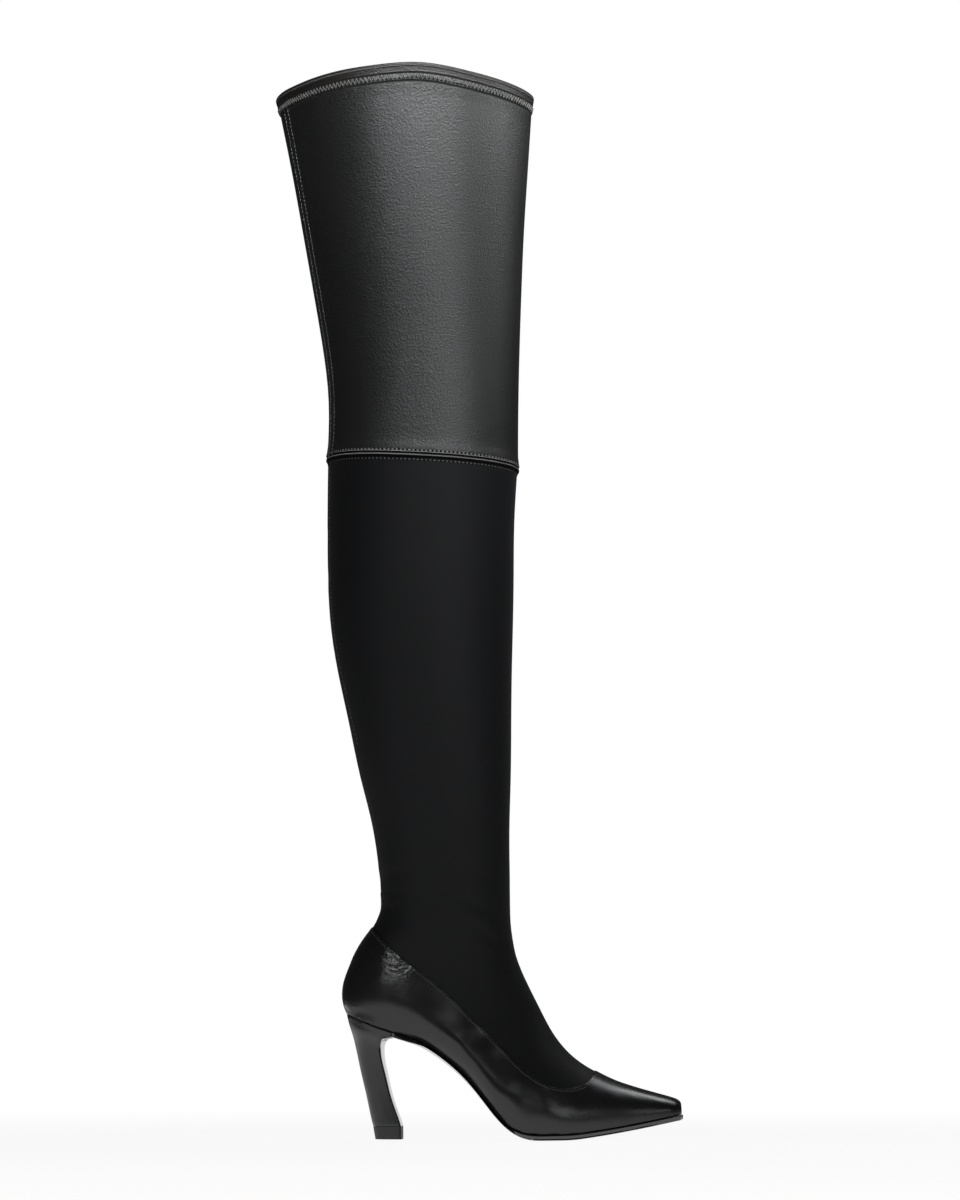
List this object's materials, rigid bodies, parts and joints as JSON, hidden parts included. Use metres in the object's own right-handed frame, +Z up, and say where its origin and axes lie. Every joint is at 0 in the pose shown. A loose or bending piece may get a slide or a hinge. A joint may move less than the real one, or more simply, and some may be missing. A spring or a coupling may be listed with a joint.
{
  "type": "thigh high boot",
  "caption": "Heeled thigh high boot with a leather foot, matt stretch shaft, leather thigh panel and snipped square toe",
  "frame": {"origin": "centre of the heel top piece's underside, on the floor", "axes": "+X from heel to toe, +Y to the inner side of the foot, +Z up the leg"},
  "size_m": [0.2951, 0.158, 0.7646],
  "materials": {
    "polished_leather": "smooth, polished, black",
    "stretch_fabric": "matt stretch fabric, black",
    "grained_leather": "fine grain, soft sheen, black",
    "sole_leather": "lacquered, black",
    "sock_lining": "plain lining leather, black",
    "heel_cover": "smooth cover leather, black",
    "top_piece_rubber": "matt, black"
  },
  "bodies": {
    "root": {"upper": "polished_leather", "shaft_lower": "stretch_fabric", "shaft_upper": "grained_leather", "outsole": "sole_leather", "insole": "sock_lining", "heel": "heel_cover", "heel_top_piece": "top_piece_rubber"}
  },
  "joints": []
}
